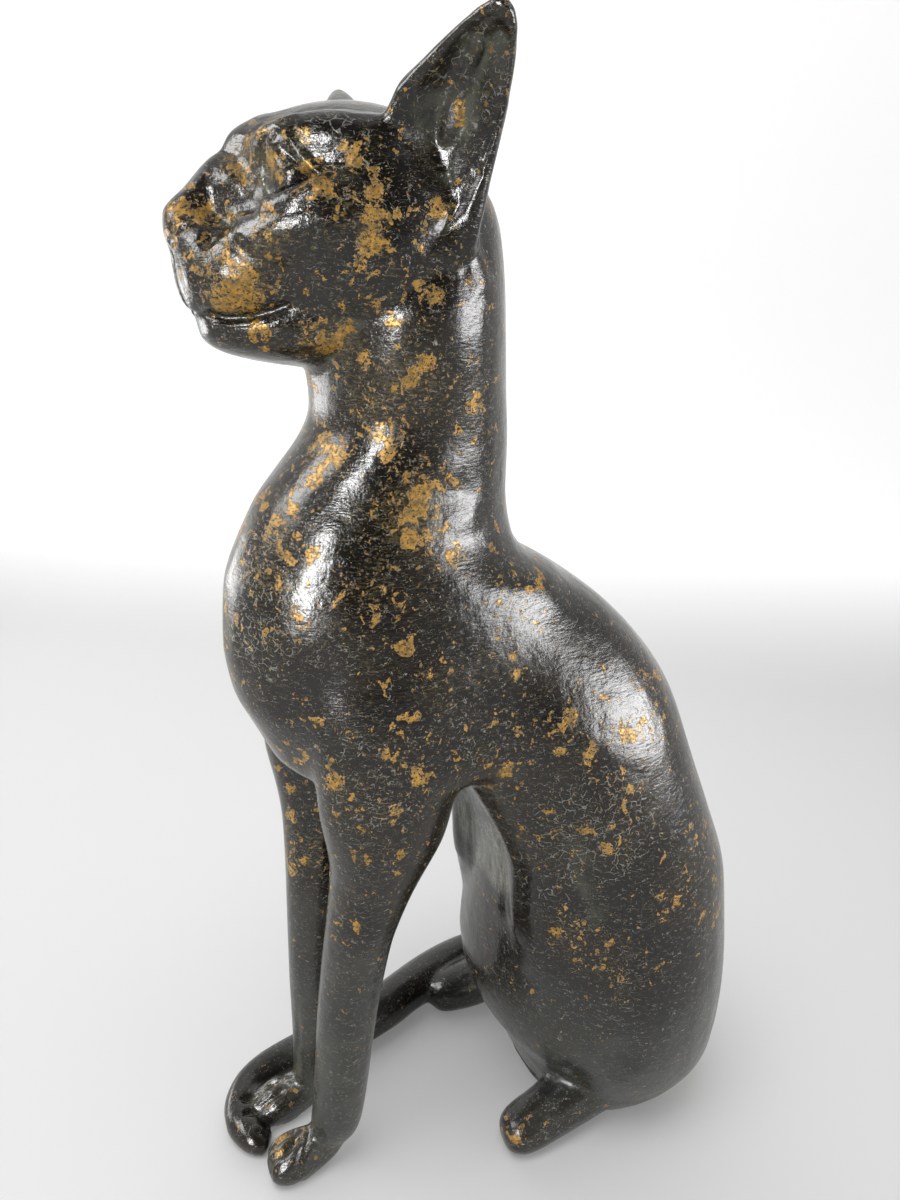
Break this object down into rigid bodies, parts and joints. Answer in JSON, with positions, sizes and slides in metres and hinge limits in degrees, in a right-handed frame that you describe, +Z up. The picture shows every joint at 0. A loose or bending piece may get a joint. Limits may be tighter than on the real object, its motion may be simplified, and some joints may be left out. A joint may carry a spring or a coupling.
{
  "type": "seated cat figurine",
  "caption": "Seated cat figurine with upright ears, slender neck, deep chest and straight forelegs, its tail lying along the floor round the right side, in dark painted resin.",
  "frame": {"origin": "middle of the footprint box, on the floor under the paws, haunches and tail", "axes": "+Z up through the head, -Y the way the cat faces, +X towards its left side"},
  "size_m": [0.102, 0.1626, 0.3],
  "materials": {
    "painted_resin": "satin to gloss near-black lacquer over cast resin, worn flecks of ochre gold, fine pale scratches, greenish grey in the recesses"
  },
  "bodies": {
    "root": {"seated_cat": "painted_resin"}
  },
  "joints": []
}
